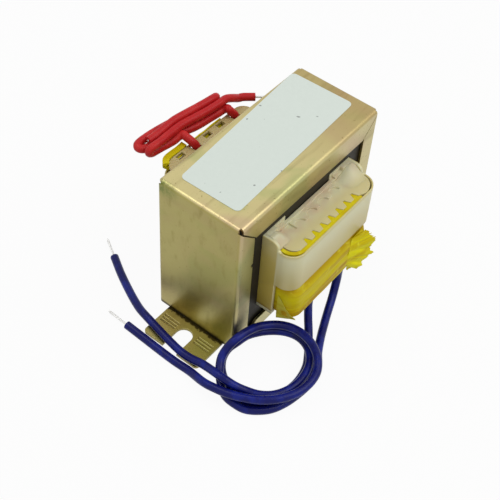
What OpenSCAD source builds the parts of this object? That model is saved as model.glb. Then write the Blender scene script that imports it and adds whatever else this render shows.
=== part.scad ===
// Laminated transformer in a folded clamp frame, with flying leads.
// X runs along the mounting ears, -Y is the front with the secondary leads, Z is up.
// The origin is on the underside of the base plate, at its middle.

/* [Core] */
// Length of the laminations across all three legs
core_len = 57; // [50:0.5:66]
// Height of the laminations, E and I together
core_h = 47.5; // [42:0.5:57]
// Width of the centre leg
tongue_w = 19; // [16:0.5:22]
// Width of each outer leg
leg_w = 9.5; // [8:0.25:11]
// Height of each yoke
yoke_h = 9.5; // [8:0.25:11]
// Thickness of the lamination stack
stack_t = 25; // [16:1:32]
// Packs of laminations, laid in alternate directions
pack_count = 6; // [2:2:20]

/* [Clamp frame] */
// Thickness of the clamp and base plate sheet
sheet_t = 0.8; // [0.6:0.1:1.2]
// Inside radius of every bend
bend_in = 0.3; // [0.2:0.02:0.34]
// Depth of the lips at the top
top_lip = 7.1; // [5:0.1:8]
// Width of the lips at the sides
side_lip = 5.8; // [4:0.1:7]
// Open line between two lips at a mitred corner
mitre_gap = 0.4; // [0.2:0.1:0.8]
// Drop of the mitre's start below the corner where the bends meet
mitre_drop = 0.9; // [0.5:0.1:1.5]
// Height of the staking nick in the side lips
nick_z = 32; // [15:0.5:36]
// Radius of the staking nick
nick_r = 0.7; // [0.4:0.1:1]
// Width of each staked tab under the side plates
tab_w = 4; // [3:0.5:5]
// Distance of a tab from the core's face, to its middle
tab_inset = 6.5; // [4.5:0.5:7]

/* [Base plate] */
// Height of the upturned lips
base_lip = 5.3; // [4:0.1:7]
// Step from the core's face in to the side of an ear
ear_inset = 2.9; // [1:0.1:4]
// Reach of each ear beyond the side plate
ear_reach = 10.9; // [9:0.1:14]
// Corner radius of the ears
ear_r = 1.2; // [0.5:0.1:2]
// Width of the open mounting slots
slot_w = 5; // [4:0.1:5.5]
// Distance of the slot's round end from the side plate, to its centre
slot_out = 5; // [3.5:0.1:6]
// Number of grip grooves on each side of a slot
groove_count = 3; // [1:1:4]
// Distance of the first groove from the side plate
groove_out = 2.8; // [2:0.1:3.5]
// Distance between grooves
groove_pitch = 1; // [0.8:0.05:1.2]
// Width of a groove, twice its depth
groove_w = 0.6; // [0.3:0.1:0.7]
// Bare width of the ear at both ends of a groove
groove_inset = 1; // [0.6:0.1:1.5]

/* [Bobbin and covers] */
// Wall of the bobbin's tube
tube_t = 1; // [0.7:0.1:1.4]
// Thickness of the bobbin's flanges
flange_t = 1; // [0.7:0.1:1.4]
// Length of the flange's full-width shoulders in front of the core's face
shoulder = 4.9; // [3.5:0.1:6]
// Wall of the covers
cover_t = 0.9; // [0.7:0.1:1.2]
// Outside corner radius of the covers
cover_r = 4.3; // [3.6:0.1:6]
// Drop of the front comb and of the covers' bands below the bobbin's top
comb_drop = 2.4; // [1.6:0.1:3]
// Width of the raised pads at the front corners of the bobbin
pad_w = 3.6; // [2:0.1:4.5]
// Gap between the front comb's edge and the cover's band
comb_gap = 0.4; // [0.2:0.1:1]
// Gap between the combs' ends and the covers' side walls
comb_side_gap = 1.4; // [0.8:0.1:1.8]
// Depth of the front comb's notches
notch_d = 2; // [1:0.1:2.6]
// Width of the front comb's notches at the edge
notch_w = 1.9; // [1.2:0.1:2.2]
// Width of the front comb's notches at their inner end
notch_root = 0.7; // [0.4:0.1:1]
// Distance of the front comb's last notch from the comb's end, to its middle
notch_edge = 6.15; // [5.5:0.05:7]
// Number of notches in the front comb
notch_count = 7; // [4:1:7]
// Shift of the front comb's notches along the edge
notch_shift = -0.45; // [-0.6:0.05:0.6]
// Width of the rear comb's slots
rear_slot_w = 2.6; // [2.5:0.1:3]
// Length of the rear comb's slots, front to back
rear_slot_d = 1.5; // [1:0.1:2]
// Strip of the flange behind the rear comb's slots
rear_slot_rim = 0.5; // [0.4:0.1:0.8]
// Distance of the rear comb's last slot from the comb's end, to its middle
rear_slot_edge = 5.5; // [5:0.1:7]
// Height of the scalloped terrace in front of the bobbin's tube
terrace_h = 0.5; // [0.2:0.1:0.8]
// Depth of the terrace in front of the bobbin's tube
terrace_d = 2.6; // [2.1:0.1:3.5]
// Radius of the scallops
scallop_r = 1.8; // [1:0.1:2]
// Distance of the last scallop from the terrace's end, to its middle
scallop_edge = 2; // [1.5:0.1:3]

/* [Windings and tape] */
// Build of the windings in front of and behind the core
winding_front = 6.2; // [5:0.1:7.5]
// Tape over the primary winding, at the front and back
primary_tape_t = 1.9; // [1.6:0.1:2.2]
// Tape and padding over the secondary winding, at the front and back
secondary_tape_t = 3.8; // [3.4:0.1:4.4]
// Tape at the sides of both windings
side_tape_t = 0.5; // [0.3:0.1:0.6]
// Corner radius of the windings
winding_r = 3; // [1:0.5:4]
// Corner radius of the tape
tape_r = 3.5; // [2.5:0.5:5]
// Distance of the loose tape end from the tape's right side
pleat_inset = 4.4; // [4:0.1:8]
// Drop of the loose tape end below the coil
pleat_drop = 3; // [1:0.5:5]
// Length of a pleat of the loose tape end
pleat_len = 3.5; // [2.5:0.5:6]
// Thickness of a pleat
pleat_t = 0.6; // [0.4:0.1:1]
// Soldered length of each splice between winding and lead
splice_len = 8; // [5:0.5:10]
// Diameter of a splice
splice_d = 1.4; // [1:0.1:1.5]

/* [Label] */
// Bare length of the top at each end of the label
label_end = 3.9; // [3:0.1:8]
// Bare width of the top at each side of the label
label_side = 4; // [3.5:0.1:6]
// Corner radius of the label
label_r = 2.5; // [1:0.1:4]
// Thickness of the label
label_t = 0.1; // [0.05:0.05:0.2]
// Turn of the label on the top
label_turn = 2.8; // [0:0.1:3]

/* [Leads] */
// Diameter of the lead insulation
lead_d = 2.4; // [2:0.1:2.4]
// Diameter of the tinned strands
strand_d = 0.9; // [0.6:0.1:1.2]
// Length of the tinned ends
strand_len = 7; // [4:0.5:9]

/* [Fits] */
// Room between the core and the folded sheets
core_gap = 0.1; // [0.1:0.01:0.2]
// Room between the bobbin and the core
coil_gap = 0.2; // [0.1:0.05:0.3]
// Room between coil pieces that slide over each other
slip_gap = 0.1; // [0.05:0.05:0.15]
// Room between the windings' tape and the covers' side walls
winding_gap = 0.3; // [0.1:0.05:0.6]
// Room between the primary tape and the covers' bands
band_gap = 0.2; // [0.1:0.05:0.6]

/* [Hidden] */
$fn = 48;
// Length by which a cutting solid passes the faces that it cuts
over = 1;

// Folded sheets
bend_r = bend_in + sheet_t;
clamp_len = core_len + 2 * core_gap + 2 * sheet_t;
clamp_d = stack_t + 2 * core_gap + 2 * sheet_t;
// The base plate's bends start beside the core, so that it lies flat
base_d = stack_t + 2 * bend_r;
core_z = sheet_t;
clamp_top = core_z + core_h + core_gap + sheet_t;
side_in = clamp_len / 2 - sheet_t;
ear_w = stack_t - 2 * ear_inset;
slot_pitch = clamp_len + 2 * slot_out;
tab_pitch = stack_t - 2 * tab_inset;
mitre_half = mitre_gap / sqrt(2);

// Packs of laminations
pack_t = stack_t / pack_count;
window_w = (core_len - tongue_w) / 2 - leg_w;
window_h = core_h - 2 * yoke_h;

// Coil former: the tube, three flanges and the covers round them
coil_z0 = core_z + yoke_h;
coil_z1 = core_z + core_h - yoke_h - 2 * coil_gap;
comb_z = coil_z1 - comb_drop;
coil_mid = (coil_z0 + comb_z) / 2;
tube_in = [tongue_w + 2 * coil_gap, stack_t + 2 * coil_gap];
tube_out = tube_in + 2 * [tube_t, tube_t];
winding_build = window_w - 2 * coil_gap - tube_t - cover_t - side_tape_t - winding_gap;
coil_reach = coil_gap + tube_t + winding_front + primary_tape_t + band_gap + cover_t;
cover_out = [tongue_w + 2 * window_w - 2 * coil_gap, stack_t + 2 * coil_reach];
cover_in = cover_out - 2 * [cover_t, cover_t];
comb_out = cover_in - 2 * [comb_side_gap, comb_gap];
comb_r = cover_r - cover_t;
shoulder_y = stack_t / 2 + shoulder;
pad_out = cover_in[0] / 2 - slip_gap;
upper_z = coil_mid + flange_t / 2;
lower_z = coil_mid - flange_t / 2;
chamber_top = comb_z - flange_t;
chamber_bottom = coil_z0 + flange_t;
scallop_count = 4;
scallop_pitch = (tongue_w - 2 * scallop_edge) / (scallop_count - 1);
notch_pitch = (comb_out[0] - 2 * notch_edge) / (notch_count - 1);
rear_slot_count = 5;
rear_slot_pitch = (comb_out[0] - 2 * rear_slot_edge) / (rear_slot_count - 1);

// Windings and tape
winding_out = tube_out + 2 * [winding_build, winding_front];
primary_out = winding_out + 2 * [side_tape_t, primary_tape_t];
secondary_out = winding_out + 2 * [side_tape_t, secondary_tape_t];
pleat_angles = [-112, -86, -60];
pleat_x = secondary_out[0] / 2 - pleat_inset;

// Label
label_at = [1, 1.4];
label_len = clamp_len - 2 * label_end;
label_w = clamp_d - 2 * label_side;

// Leads: where they pass the flanges
blue_x = [-8.5, 5.5];
blue_y = secondary_out[1] / 2 - lead_d / 2;
lead_room = 0.3;
red_x = [-rear_slot_pitch, 2 * rear_slot_pitch];
red_y = cover_in[1] / 2 - lead_d / 2 - slip_gap;
splice_gap = 0.1;
lead_sides = 8;

// Routes of the secondary leads, from a point just outside the frame's front left corner on the floor
corner = [-clamp_len / 2 - 0.15, -clamp_d / 2 - 0.15, 0];
blue_floor_a = [
    [20.6, -9.5, 6.9], [19.6, -10.5, 4.8], [18.4, -11.7, 3.1], [16.9, -13, 1.9], [14.7, -14.7, 1.3],
    [12.2, -16.4, 1.2], [9.3, -18.1, 1.2], [6, -19.1, 1.2], [2.3, -19.4, 1.2], [-1.8, -18.8, 1.2],
    [-5.5, -17.6, 1.2], [-8.3, -15.6, 1.2], [-10.1, -13, 1.2], [-10.6, -10, 1.2], [-9.9, -6.8, 1.2],
    [-8.6, -3.9, 1.2], [-6.8, -1.5, 1.7], [-4.5, 0, 2.7], [-2.2, 0.1, 4.3], [0.2, -1, 5.9],
    [3.6, -1.7, 5.9], [7.2, -3.3, 5.2], [10.3, -5.5, 4.5], [12.5, -8.2, 4.1], [13.5, -11.2, 3.9],
    [13.1, -14.3, 3.9], [11.5, -17, 3.8], [8.8, -19.1, 3.8], [5.4, -20.3, 3.8], [1.6, -20.6, 3.8],
    [-2.2, -19.7, 3.7], [-5.5, -17.8, 3.7], [-7.8, -15, 3.7], [-9.2, -11.7, 3.9], [-10.5, -8.5, 4.9],
    [-11.1, -3.9, 5.8], [-10, 2, 3.5], [-10, 10, 2], [-7.5, 24, 2], [-5.5, 30.5, 1.4], [-1, 40, 1.2],
    [3, 47, 1.2]];
blue_floor_b = [
    [34.5, -9.2, 7], [33, -9.8, 4.8], [30.5, -10.8, 3.1], [27.1, -12.1, 1.9], [23.3, -13.7, 1.4],
    [18.9, -15.7, 1.2], [14.6, -18, 1.2], [11.7, -20.1, 1.2], [8.3, -21.5, 1.2], [4.5, -22.1, 1.2],
    [0.4, -21.8, 1.2], [-3.9, -20.9, 1.2], [-7.7, -19.3, 1.2], [-10.5, -16.8, 1.2], [-12.4, -14, 1.3],
    [-13, -11, 1.6], [-13, -8.1, 2.1], [-11.8, -5.7, 2.7], [-10.1, -3.7, 3.2], [-8.1, -1.9, 3.8],
    [-5.8, -0.6, 4.9], [-3.5, -0.5, 6.5], [-1, -1.2, 8.3], [2.6, -1.9, 8.6], [6.6, -3, 7.9],
    [9.9, -5, 7.2], [12.2, -7.6, 6.8], [13.4, -10.7, 6.5], [13.2, -14.3, 6.6], [11.9, -17.9, 6.5],
    [9.6, -20.9, 6.3], [6.8, -22.8, 5.8], [3.5, -23.5, 5.6], [-0.1, -23.2, 5.4], [-3.8, -21.8, 5.3],
    [-7.1, -19.5, 5.2], [-9.8, -16.5, 5.1], [-11.8, -12.9, 4.9], [-13.3, -9.2, 4.7], [-14.1, -5.1, 4.3],
    [-14.2, -1.3, 3.5], [-13, 4.5, 1.6], [-13, 11.5, 1.2], [-12.5, 27.5, 1.2]];
function blue_route(x, floor_points) = concat(
    [[x, -blue_y, chamber_bottom], [x, -blue_y, chamber_bottom - 2.2]],
    [for (p = floor_points) corner + p]);
blue_route_a = blue_route(blue_x[0], blue_floor_a);
blue_route_b = blue_route(blue_x[1], blue_floor_b);

// The hank of primary leads, behind the coil and resting on the bobbin's rear edge
hank_len = 35.3;
hank_w = 6;
hank_h = 4.8;
hank_turn = -7;
hank_at = [-1, cover_out[1] / 2 + 4.4, coil_z1];
// A point in front of the hank's near face, along it and above its bottom
function before_hank(along, up, out) = hank_at + [
    along * cos(hank_turn) + (hank_w / 2 + out) * sin(hank_turn),
    along * sin(hank_turn) - (hank_w / 2 + out) * cos(hank_turn),
    up];
function red_start(x) = [[x, red_y, chamber_top], [x, red_y, comb_z], [x, red_y + 0.3, coil_z1]];
red_route_a = concat(red_start(red_x[0]), [[red_x[0] - 0.5, red_y + 1.1, coil_z1 + 1.3],
    before_hank(-5, 2.4, 1), before_hank(-5, 2.4, 0)]);
red_route_b = concat(red_start(red_x[1]), [[red_x[1] - 0.6, red_y + 0.8, coil_z1 + 1.1],
    before_hank(11.3, 2.2, 0.7), before_hank(11.3, 2.2, 0)]);
// The free end that lies on the rear cover's corner
tail_dir = [cos(-30), sin(-30), 0];
tail_start = hank_at + [
    (hank_len - hank_w) / 2 * cos(hank_turn),
    (hank_len - hank_w) / 2 * sin(hank_turn),
    lead_d / 2] + hank_w / 2 * tail_dir;
red_end_route = [tail_start, tail_start + 1.5 * tail_dir, tail_start + [3.6, -3.2, 0]];

// A rectangle about the origin with four rounded corners
module round_slab(size, r) {
    square([size[0] - 2 * r, size[1]], center = true);
    square([size[0], size[1] - 2 * r], center = true);
    for (sx = [-1, 1], sy = [-1, 1])
        translate([sx * (size[0] / 2 - r), sy * (size[1] / 2 - r)])
            circle(r);
}

// An upright block whose two top corners are rounded
module arch_block(w, h, r) {
    translate([-w / 2, 0])
        square([w, h - r]);
    translate([-w / 2 + r, 0])
        square([w - 2 * r, h]);
    for (s = [-1, 1])
        translate([s * (w / 2 - r), h - r])
            circle(r);
}

// The section of a sheet that is bent down at both sides
module bent_sheet(w, h) {
    difference() {
        arch_block(w, h, bend_r);
        translate([0, -over])
            arch_block(w - 2 * sheet_t, h - sheet_t + over, bend_in);
    }
}

// A plan or section laid upright, with its depth about the XZ plane
module upright(depth) {
    rotate([90, 0, 0])
        linear_extrude(depth, center = true)
            children();
}

// Outline of the top with its mitred lips, seen from the front
module top_outline() {
    x_root = clamp_len / 2 - bend_r;
    z_root = clamp_top - bend_r - mitre_drop + mitre_half;
    x_tip = clamp_len / 2 - top_lip + mitre_drop - mitre_half;
    z_tip = clamp_top - top_lip;
    polygon([[-x_root, clamp_top + over], [x_root, clamp_top + over], [x_root, z_root],
        [x_tip, z_tip], [-x_tip, z_tip], [-x_root, z_root]]);
}

// Outline of a side lip, mitred at the top, seen from the front at +X
module side_outline() {
    x_out = clamp_len / 2;
    x_tip = x_out - side_lip;
    z_out = clamp_top - mitre_drop - mitre_half;
    polygon([[x_tip, sheet_t], [x_out, sheet_t], [x_out, z_out], [x_tip, z_out - side_lip]]);
}

module clamp_frame() {
    color("darkkhaki")
        difference() {
            union() {
                // Top and both side plates
                translate([0, 0, sheet_t])
                    upright(clamp_d - 2 * bend_r)
                        bent_sheet(clamp_len, clamp_top - sheet_t);
                // Front and back lips of the top
                intersection() {
                    translate([0, 0, clamp_top - top_lip])
                        rotate([0, 0, 90])
                            upright(clamp_len)
                                bent_sheet(clamp_d, top_lip);
                    upright(clamp_d + 2 * over)
                        top_outline();
                }
                // Front and back lips of the side plates
                for (s = [0, 1])
                    mirror([s, 0, 0])
                        intersection() {
                            translate([clamp_len / 2 - side_lip, 0, sheet_t])
                                linear_extrude(clamp_top - bend_r - sheet_t)
                                    rotate(-90)
                                        bent_sheet(clamp_d, side_lip);
                            upright(clamp_d + 2 * over)
                                side_outline();
                        }
                // Staked tabs under the side plates
                for (sx = [-1, 1], sy = [-1, 1])
                    translate([sx * (clamp_len / 2 - sheet_t / 2), sy * tab_pitch / 2, sheet_t])
                        cube([sheet_t, tab_w, 2 * sheet_t], center = true);
            }
            // Staking nicks in the free edges of the side lips
            for (s = [-1, 1])
                translate([s * (clamp_len / 2 - side_lip), 0, nick_z])
                    rotate([90, 0, 0])
                        cylinder(h = clamp_d + 2 * over, r = nick_r, center = true);
        }
}

// Outline of an upturned base lip with cut corners, seen from the front
module base_lip_outline() {
    x_foot = clamp_len / 2 - side_lip - mitre_gap;
    cut = base_lip - bend_r - sheet_t;
    polygon([[-x_foot, -over], [x_foot, -over], [x_foot, base_lip - cut], [x_foot - cut, base_lip],
        [-x_foot + cut, base_lip], [-x_foot, base_lip - cut]]);
}

module base_plate() {
    ear_end = clamp_len / 2 + ear_reach;
    color("darkkhaki")
        difference() {
            union() {
                // Flat under the core, and the ears
                linear_extrude(sheet_t) {
                    square([2 * side_in, stack_t], center = true);
                    round_slab([2 * ear_end, ear_w], ear_r);
                }
                // Upturned front and back lips
                intersection() {
                    rotate([0, 0, 90])
                        upright(clamp_len)
                            translate([0, base_lip])
                                mirror([0, 1])
                                    bent_sheet(base_d, base_lip);
                    upright(base_d + 2 * over)
                        base_lip_outline();
                }
            }
            // Open mounting slots
            for (s = [-1, 1])
                translate([s * slot_pitch / 2, 0, -over]) {
                    cylinder(h = sheet_t + 2 * over, d = slot_w);
                    translate([s * ear_reach / 2, 0, sheet_t / 2 + over])
                        cube([ear_reach, slot_w, sheet_t + 2 * over], center = true);
                }
            // Grip grooves beside the mounting slots
            for (sx = [-1, 1], sy = [-1, 1], i = [0 : groove_count - 1])
                translate([sx * (clamp_len / 2 + groove_out + i * groove_pitch),
                        sy * (ear_w + slot_w) / 4, sheet_t])
                    upright((ear_w - slot_w) / 2 - 2 * groove_inset)
                        rotate(45)
                            square(groove_w / sqrt(2), center = true);
            // Slots for the staked tabs
            for (sx = [-1, 1], sy = [-1, 1])
                translate([sx * (clamp_len / 2 - sheet_t / 2), sy * tab_pitch / 2, 0])
                    cube([sheet_t + 2 * core_gap, tab_w + 2 * core_gap, 4 * sheet_t], center = true);
        }
}

module label() {
    color("whitesmoke")
        translate([label_at[0], label_at[1], clamp_top])
            rotate(label_turn)
                linear_extrude(label_t)
                    round_slab([label_len, label_w], label_r);
}

// One pack of E laminations on its yoke, legs up, its back face on the XZ plane
module e_pack() {
    rotate([90, 0, 0])
        linear_extrude(pack_t)
            difference() {
                translate([-core_len / 2, 0])
                    square([core_len, core_h - yoke_h]);
                for (s = [-1, 1])
                    translate([s * (tongue_w + window_w) / 2 - window_w / 2, yoke_h])
                        square([window_w, window_h + over]);
            }
}

// One pack of I laminations, its back face on the XZ plane
module i_pack() {
    rotate([90, 0, 0])
        linear_extrude(pack_t)
            translate([-core_len / 2, 0])
                square([core_len, yoke_h]);
}

// Places packs through the stack, from the given first one
module every_other_pack(first) {
    for (i = [first : 2 : pack_count - 1])
        translate([0, -stack_t / 2 + (i + 1) * pack_t, core_z])
            children();
}

module e_laminations_up() {
    color("dimgray")
        every_other_pack(0)
            e_pack();
}

module e_laminations_down() {
    color("dimgray")
        every_other_pack(1)
            translate([0, 0, core_h])
                mirror([0, 0, 1])
                    e_pack();
}

module i_laminations_top() {
    color("gray")
        every_other_pack(0)
            translate([0, 0, core_h - yoke_h])
                i_pack();
}

module i_laminations_bottom() {
    color("gray")
        every_other_pack(1)
            i_pack();
}

// Plan of the bottom flange: full-width shoulders beside the core, and the ends
module bottom_flange_plan() {
    square([cover_out[0], 2 * shoulder_y], center = true);
    round_slab(comb_out, comb_r);
}

// Plan of the top flange over the core window and the rear
module top_flange_plan() {
    rear_out = [comb_out[0], cover_out[1]];
    difference() {
        union() {
            translate([-pad_out, -tube_in[1] / 2])
                square([2 * pad_out, tube_in[1] / 2 + shoulder_y]);
            intersection() {
                round_slab(rear_out, comb_r);
                translate([-rear_out[0] / 2, 0])
                    square([rear_out[0], rear_out[1]]);
            }
        }
        rear_slots();
    }
}

// Slots along the rear edge of the top flange, wider where the primary leads rise
module rear_slots() {
    for (i = [0 : rear_slot_count - 1])
        translate([(i - (rear_slot_count - 1) / 2) * rear_slot_pitch,
                cover_out[1] / 2 - rear_slot_rim - rear_slot_d / 2])
            square([rear_slot_w, rear_slot_d], center = true);
    for (x = red_x)
        translate([x, red_y + lead_room])
            square([rear_slot_w, lead_d + 2 * lead_room], center = true);
}

// Tapered notches along the front comb's edge
module comb_notches() {
    for (i = [0 : notch_count - 1])
        translate([(i - (notch_count - 1) / 2) * notch_pitch + notch_shift, -comb_out[1] / 2])
            polygon([[-notch_w / 2, -over], [notch_w / 2, -over], [notch_w / 2, 0],
                [notch_root / 2, notch_d], [-notch_root / 2, notch_d], [-notch_w / 2, 0]]);
}

// Notches in the bottom flange, where the secondary leads leave
module lead_notches() {
    inner = blue_y - lead_d / 2 - lead_room;
    for (x = blue_x)
        translate([x - lead_d / 2 - lead_room / 2, -comb_out[1] / 2 - over])
            square([lead_d + lead_room, comb_out[1] / 2 + over - inner]);
}

module bobbin() {
    color("antiquewhite")
        difference() {
            union() {
                translate([0, 0, coil_z0])
                    linear_extrude(coil_z1 - coil_z0)
                        square(tube_out, center = true);
                translate([0, 0, coil_z1 - flange_t])
                    linear_extrude(flange_t)
                        top_flange_plan();
                // The front comb, below the top
                translate([0, 0, chamber_top])
                    linear_extrude(flange_t)
                        intersection() {
                            difference() {
                                round_slab(comb_out, comb_r);
                                comb_notches();
                            }
                            translate([-comb_out[0] / 2, -comb_out[1] / 2])
                                square([comb_out[0], (comb_out[1] - tube_in[1]) / 2]);
                        }
                // Pads at the front corners, and the wall between them below the top flange
                for (s = [0, 1])
                    mirror([s, 0, 0])
                        translate([pad_out - pad_w, -shoulder_y, chamber_top])
                            cube([pad_w, shoulder_y - tube_in[1] / 2, coil_z1 - chamber_top]);
                translate([-pad_out, -tube_out[1] / 2, chamber_top])
                    cube([2 * pad_out, 2 * tube_t, coil_z1 - flange_t - chamber_top]);
                translate([0, 0, lower_z])
                    linear_extrude(flange_t)
                        round_slab(cover_in - 2 * [slip_gap, slip_gap], cover_r - cover_t);
                translate([0, 0, coil_z0])
                    linear_extrude(flange_t)
                        difference() {
                            bottom_flange_plan();
                            lead_notches();
                        }
                // The scalloped terrace in front of the tube
                translate([0, -tube_out[1] / 2, comb_z - flange_t / 2])
                    linear_extrude(terrace_h + flange_t / 2)
                        difference() {
                            translate([-tongue_w / 2, -terrace_d])
                                square([tongue_w, terrace_d + tube_t / 2]);
                            for (i = [0 : scallop_count - 1])
                                translate([(i - (scallop_count - 1) / 2) * scallop_pitch, -terrace_d])
                                    circle(scallop_r);
                        }
            }
            // The way for the centre leg
            translate([0, 0, coil_z0 - over])
                linear_extrude(coil_z1 - coil_z0 + 2 * over)
                    square(tube_in, center = true);
        }
}

// A shroud, seen at the front: side walls at full height, and a band round the upper chamber
module cover() {
    wall_h = coil_z1 - chamber_bottom;
    for (s = [-1, 1])
        translate([s * (cover_out[0] - cover_t) / 2, -(shoulder_y + slip_gap) / 2, chamber_bottom + wall_h / 2])
            cube([cover_t, shoulder_y - slip_gap, wall_h], center = true);
    translate([0, 0, lower_z])
        linear_extrude(comb_z - lower_z)
            intersection() {
                difference() {
                    round_slab(cover_out, cover_r);
                    round_slab(cover_in, cover_r - cover_t);
                }
                translate([-cover_out[0] / 2, -cover_out[1] / 2])
                    square([cover_out[0], cover_out[1] / 2 - shoulder_y + over]);
            }
}

module front_cover() {
    color("ivory")
        cover();
}

module rear_cover() {
    color("ivory")
        rotate(180)
            cover();
}

// A ring round the bobbin's tube between two heights
module coil_ring(outside, r_out, inside, r_in, z0, z1) {
    translate([0, 0, z0])
        linear_extrude(z1 - z0)
            difference() {
                round_slab(outside, r_out);
                if (r_in > 0)
                    round_slab(inside, r_in);
                else
                    square(inside, center = true);
            }
}

module primary_winding() {
    color("peru")
        coil_ring(winding_out, winding_r, tube_out, 0, upper_z, chamber_top);
}

module secondary_winding() {
    color("peru")
        coil_ring(winding_out, winding_r, tube_out, 0, chamber_bottom, lower_z);
}

// Room for a splice inside the tape, open towards the lead
module splice_room() {
    room = splice_d + splice_gap;
    translate([-room / 2, -room / 2, -over])
        cube([room, room, splice_len + splice_gap + over]);
}

// Places a splice at each primary lead, pointing down from the upper flange
module at_primary_splices() {
    for (x = red_x)
        translate([x, winding_out[1] / 2 + primary_tape_t / 2, chamber_top])
            mirror([0, 0, 1])
                children();
}

// Places a splice at each secondary lead, pointing up from the lower flange
module at_secondary_splices() {
    for (x = blue_x)
        translate([x, -blue_y, chamber_bottom])
            children();
}

module primary_tape() {
    color("gold")
        difference() {
            coil_ring(primary_out, tape_r, winding_out, winding_r, upper_z, chamber_top);
            at_primary_splices()
                splice_room();
        }
}

// The loose end of the outer tape, folded into pleats at the front right
module tape_pleats() {
    root_y = -secondary_out[1] / 2 + pleat_t;
    for (a = pleat_angles)
        translate([pleat_x, root_y, lower_z - pleat_drop])
            rotate(a)
                translate([0, -pleat_t / 2, chamber_bottom - lower_z])
                    cube([pleat_len, pleat_t, lower_z - chamber_bottom]);
}

module secondary_tape() {
    color("gold")
        difference() {
            union() {
                coil_ring(secondary_out, tape_r, winding_out, winding_r, chamber_bottom, lower_z);
                difference() {
                    tape_pleats();
                    translate([0, 0, lower_z / 2])
                        cube([cover_out[0], comb_out[1], lower_z], center = true);
                }
            }
            at_secondary_splices()
                splice_room();
        }
}

module splice() {
    cylinder(h = splice_len, d = splice_d);
}

module primary_splices() {
    color("silver")
        at_primary_splices()
            splice();
}

module secondary_splices() {
    color("silver")
        at_secondary_splices()
            splice();
}

// Vector helpers for the swept leads
function unit(v) = v / norm(v);
function route_dir(p, i) =
    i == 0 ? unit(p[1] - p[0]) :
    i == len(p) - 1 ? unit(p[i] - p[i - 1]) :
    unit(unit(p[i] - p[i - 1]) + unit(p[i + 1] - p[i]));
// A side direction that is carried from ring to ring without twisting
function carried_side(p, i) =
    let (d = route_dir(p, i),
        s = i == 0 ? (abs(d[2]) > 0.9 ? [1, 0, 0] : [0, 0, 1]) : carried_side(p, i - 1))
    unit(s - (s * d) * d);
function ring(p, i, r) =
    let (d = route_dir(p, i), a = carried_side(p, i), b = cross(d, a))
    [for (k = [0 : lead_sides - 1])
        let (t = 360 * (k + 0.5) / lead_sides)
        p[i] + r * (cos(t) * a + sin(t) * b)];

// A closed tube along a route
module lead_tube(p, d) {
    n = lead_sides;
    last = len(p) - 1;
    points = [for (i = [0 : last]) each ring(p, i, d / 2)];
    near = [for (i = [0 : last - 1], k = [0 : n - 1])
        [(i + 1) * n + k, i * n + (k + 1) % n, i * n + k]];
    far = [for (i = [0 : last - 1], k = [0 : n - 1])
        [(i + 1) * n + k, (i + 1) * n + (k + 1) % n, i * n + (k + 1) % n]];
    start = [[for (k = [0 : n - 1]) k]];
    end = [[for (k = [n - 1 : -1 : 0]) last * n + k]];
    polyhedron(points, concat(near, far, start, end));
}

// The tinned strands that go on from the end of a route
module lead_tip(p, length) {
    last = len(p) - 1;
    d = unit(p[last] - p[last - 1]);
    translate(p[last])
        rotate([0, acos(d[2]), atan2(d[1], d[0])])
            cylinder(h = length, d = strand_d);
}

module blue_lead_a() {
    color("navy")
        lead_tube(blue_route_a, lead_d);
}

module blue_lead_b() {
    color("navy")
        lead_tube(blue_route_b, lead_d);
}

module blue_tip_a() {
    color("silver")
        lead_tip(blue_route_a, strand_len);
}

module blue_tip_b() {
    color("silver")
        lead_tip(blue_route_b, strand_len);
}

module red_lead_a() {
    color("firebrick")
        lead_tube(red_route_a, lead_d);
}

module red_lead_b() {
    color("firebrick")
        lead_tube(red_route_b, lead_d);
}

module red_hank() {
    color("firebrick")
        translate(hank_at)
            rotate(hank_turn)
                linear_extrude(hank_h) {
                    square([hank_len - hank_w, hank_w], center = true);
                    for (s = [-1, 1])
                        translate([s * (hank_len - hank_w) / 2, 0])
                            circle(d = hank_w);
                }
}

module red_lead_end() {
    color("firebrick")
        lead_tube(red_end_route, lead_d);
}

module red_tip() {
    color("silver")
        lead_tip(red_end_route, strand_len / 2);
}

clamp_frame();
base_plate();
label();
e_laminations_up();
e_laminations_down();
i_laminations_top();
i_laminations_bottom();
bobbin();
front_cover();
rear_cover();
primary_winding();
secondary_winding();
primary_tape();
secondary_tape();
primary_splices();
secondary_splices();
blue_lead_a();
blue_lead_b();
blue_tip_a();
blue_tip_b();
red_lead_a();
red_lead_b();
red_hank();
red_lead_end();
red_tip();
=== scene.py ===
import math
import bpy
from mathutils import Matrix, Vector, noise


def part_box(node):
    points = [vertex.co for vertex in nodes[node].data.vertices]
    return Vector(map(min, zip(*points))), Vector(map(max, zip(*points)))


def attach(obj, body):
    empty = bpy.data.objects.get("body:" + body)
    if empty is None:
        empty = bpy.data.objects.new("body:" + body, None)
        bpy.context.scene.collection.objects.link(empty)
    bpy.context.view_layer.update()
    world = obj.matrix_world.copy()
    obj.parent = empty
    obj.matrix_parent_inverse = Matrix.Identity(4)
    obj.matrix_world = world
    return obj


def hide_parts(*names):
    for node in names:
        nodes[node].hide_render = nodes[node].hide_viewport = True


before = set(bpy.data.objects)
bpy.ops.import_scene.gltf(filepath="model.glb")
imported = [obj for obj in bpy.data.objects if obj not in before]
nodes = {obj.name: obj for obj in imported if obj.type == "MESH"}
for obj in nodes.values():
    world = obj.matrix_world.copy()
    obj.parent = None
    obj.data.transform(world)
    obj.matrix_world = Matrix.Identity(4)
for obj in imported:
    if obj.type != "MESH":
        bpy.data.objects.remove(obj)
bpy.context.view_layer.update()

mm = 0.001
print("frame loaded,", len(nodes), "CAD nodes")


# Small tools for modelling

def deselectAll():
    if bpy.context.object and bpy.context.object.mode != "OBJECT":
        bpy.ops.object.mode_set(mode="OBJECT")
    bpy.ops.object.select_all(action="DESELECT")


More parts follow.
